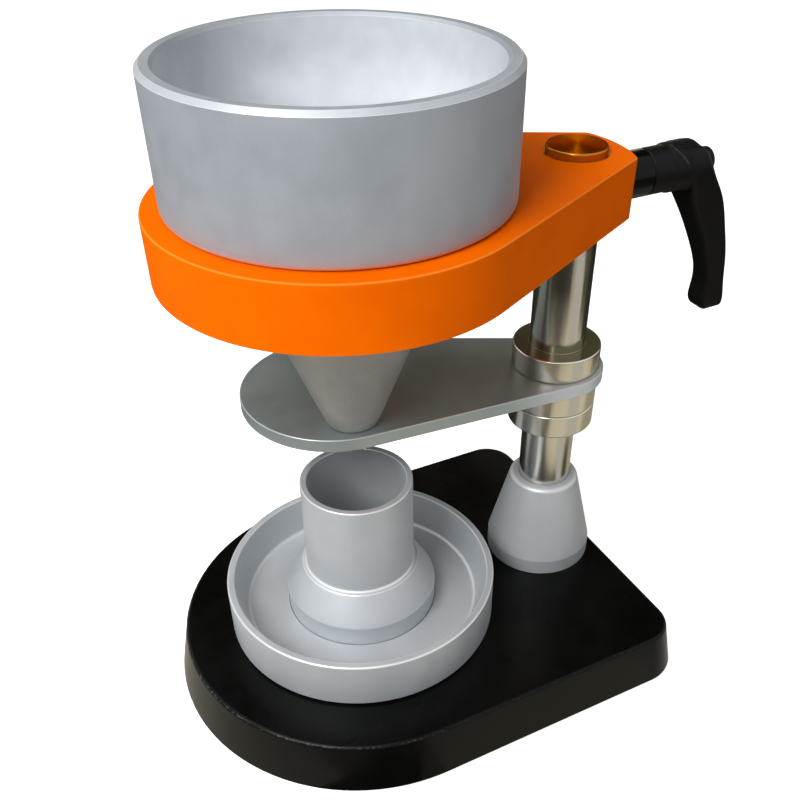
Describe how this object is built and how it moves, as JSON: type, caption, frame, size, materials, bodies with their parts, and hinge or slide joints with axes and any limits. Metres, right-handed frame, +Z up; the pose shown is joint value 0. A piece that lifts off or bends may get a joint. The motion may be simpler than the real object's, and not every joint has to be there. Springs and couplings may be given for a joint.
{
  "type": "bulk density apparatus",
  "caption": "Bench funnel hopper on a clamped arm, with a swing shutter under its spout, that fills a measuring cup standing in an overflow dish.",
  "frame": {"origin": "on the bench, on the axis that the hopper and the measuring cup share", "axes": "+Z up, +X from the cup axis to the column"},
  "size_m": [0.2827, 0.18, 0.279],
  "materials": {
    "black_paint": "satin black paint on a cast base",
    "black_rubber": "plain black rubber sheet",
    "blasted_aluminium": "bead blasted and clear anodised, bright along the edges",
    "polished_steel": "ground and polished stainless bar",
    "turned_steel": "finely turned stainless steel",
    "dark_steel": "black oxide",
    "bronze_cap": "turned face with an orange-brown anodised tint",
    "orange_paint": "satin orange powder coat",
    "brass": "machined",
    "black_lever": "fine textured black coat on a die cast lever"
  },
  "bodies": {
    "base": {"base_plate": "black_paint", "rubber_sole": "black_rubber", "column_foot": "blasted_aluminium", "column": "polished_steel", "column_bolt": "dark_steel", "column_washer": "polished_steel", "column_cap": "bronze_cap", "upper_collar": "turned_steel", "lower_collar": "turned_steel", "collar_set_screws": "dark_steel"},
    "dish": {"overflow_dish": "blasted_aluminium"},
    "cup": {"measuring_cup": "blasted_aluminium"},
    "shutter": {"shutter_plate": "blasted_aluminium", "shutter_hub": "turned_steel"},
    "guide": {"guide_bushes": "brass"},
    "arm": {"arm": "orange_paint"},
    "hopper": {"hopper": "blasted_aluminium", "funnel": "blasted_aluminium"},
    "clamp_pad": {"clamp_pad": "brass"},
    "clamp_stud": {"clamp_stud": "dark_steel", "clamp_retaining_screw": "dark_steel", "clamp_spring": "turned_steel"},
    "clamp_lever": {"clamp_lever": "black_lever"}
  },
  "joints": [
    {"name": "arm_slide", "type": "slide", "parent": "base", "child": "guide", "axis": [0, 0, 1], "range_m": [0, 0.012]},
    {"name": "arm_swivel", "type": "hinge", "parent": "guide", "child": "arm", "pos_m": [0.101, 0, 0.219], "axis": [0, 0, 1], "continuous": true},
    {"name": "hopper_lift", "type": "slide", "parent": "arm", "child": "hopper", "axis": [0, 0, 1], "range_m": [0, 0.1]},
    {"name": "shutter_swing", "type": "hinge", "parent": "base", "child": "shutter", "pos_m": [0.101, 0, 0.1325], "axis": [0, 0, 1], "continuous": true},
    {"name": "dish_slide", "type": "slide", "parent": "base", "child": "dish", "axis": [-1, 0, 0], "range_m": [0, 0.08]},
    {"name": "cup_lift", "type": "slide", "parent": "dish", "child": "cup", "axis": [0, 0, 1], "range_m": [0, 0.02]},
    {"name": "clamp_feed", "type": "slide", "parent": "arm", "child": "clamp_pad", "axis": [1, 0, 0], "range_m": [0, 0.00095]},
    {"name": "clamp_turn", "type": "hinge", "parent": "clamp_pad", "child": "clamp_stud", "pos_m": [0.137, 0, 0.2173], "axis": [1, 0, 0], "range_deg": [0, 270]},
    {"name": "lever_lift", "type": "slide", "parent": "clamp_stud", "child": "clamp_lever", "axis": [1, 0, 0], "range_m": [0, 0.0045], "stiffness_N_per_m": 1500, "springref_m": -0.004, "deforming": ["clamp_spring"]}
  ],
  "couplings": [
    {"joint": "clamp_feed", "follows": "clamp_turn", "m_per_rad": 0.00019894}
  ]
}
